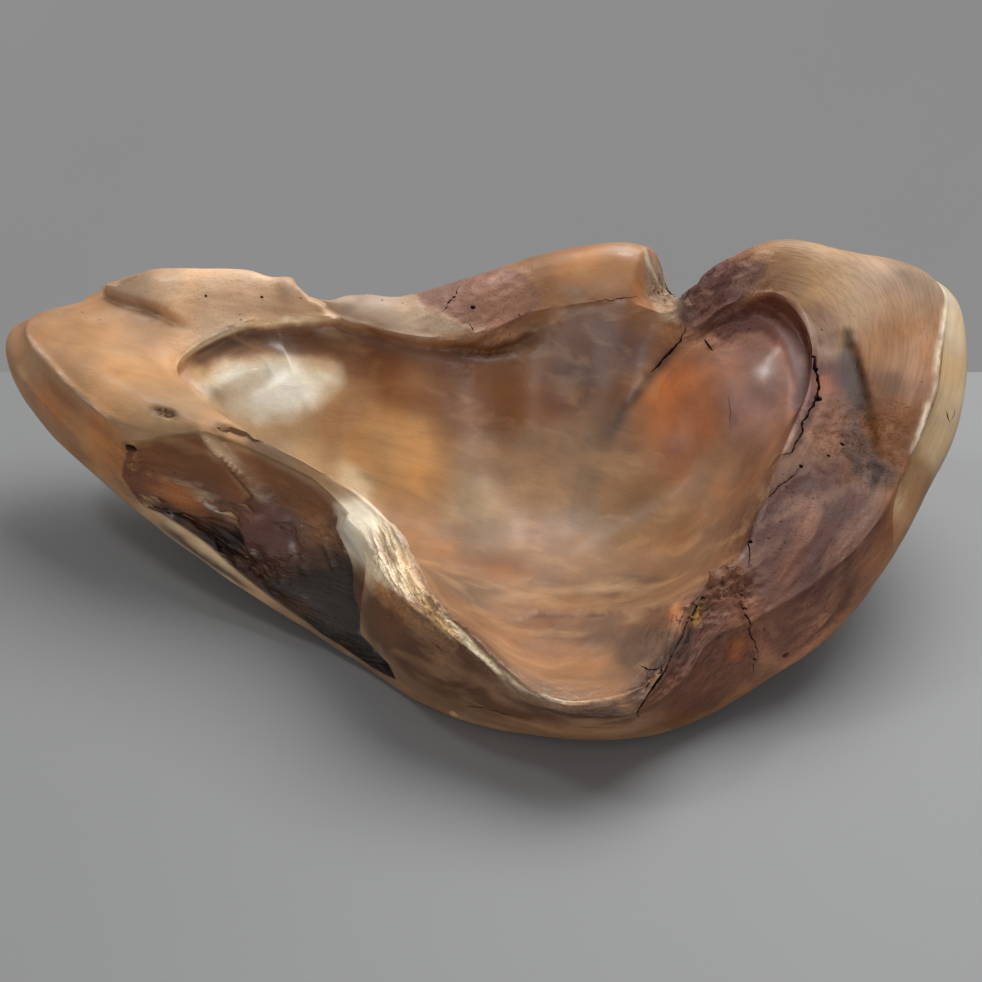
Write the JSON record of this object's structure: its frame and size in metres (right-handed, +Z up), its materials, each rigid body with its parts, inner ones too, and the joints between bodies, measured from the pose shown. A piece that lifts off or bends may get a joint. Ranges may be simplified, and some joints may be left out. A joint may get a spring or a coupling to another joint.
{
  "type": "wooden root bowl",
  "caption": "Freeform bowl carved from a clump of grown-together teak roots: a long solid nose at the left, a thick rough rim at the right and a deep hollow between.",
  "frame": {"origin": "centre of the sanded flat underneath, on the surface the bowl stands on", "axes": "+Z up; +X along the bowl's length, from the pointed nose towards the thick right rim; -Y towards the low front rim"},
  "size_m": [0.4809, 0.2546, 0.1444],
  "materials": {
    "root_wood": "tan and orange-brown heartwood with darker grain, polished and sealed",
    "limb_wood": "purple-brown weathered root surface, fibrous, with a thin sheen",
    "wedge_wood": "dark red-brown fibrous root, thin sheen",
    "knot_wood": "orange-brown polished knot, gloss",
    "patch_wood": "tan and grey-brown polished wood",
    "sapwood": "pale cream sapwood, satin",
    "strand_wood": "tan-grey wood with a purple-brown bark patch, satin",
    "lobe_wood": "tan-grey wood with small pits, satin",
    "old_bark": "dark rough bark and rotted wood",
    "under_wood": "brown wood, satin",
    "crack_filler": "near-black resin and dirt, matt",
    "peg_wood": "plain dowel wood, matt"
  },
  "bodies": {
    "root": {"root_body": "root_wood", "right_limb": "limb_wood", "front_wedge": "wedge_wood", "knot": "knot_wood", "front_patch": "patch_wood", "sapwood_end": "sapwood", "back_strand": "strand_wood", "left_lobe": "lobe_wood", "recess_bark": "old_bark", "under_root": "under_wood", "knot_crack_filler": "crack_filler", "notch_crack_filler": "crack_filler", "front_crack_filler": "crack_filler", "peg_1": "peg_wood", "peg_2": "peg_wood", "peg_3": "peg_wood", "peg_4": "peg_wood", "peg_5": "peg_wood", "peg_6": "peg_wood", "peg_7": "peg_wood"}
  },
  "joints": []
}
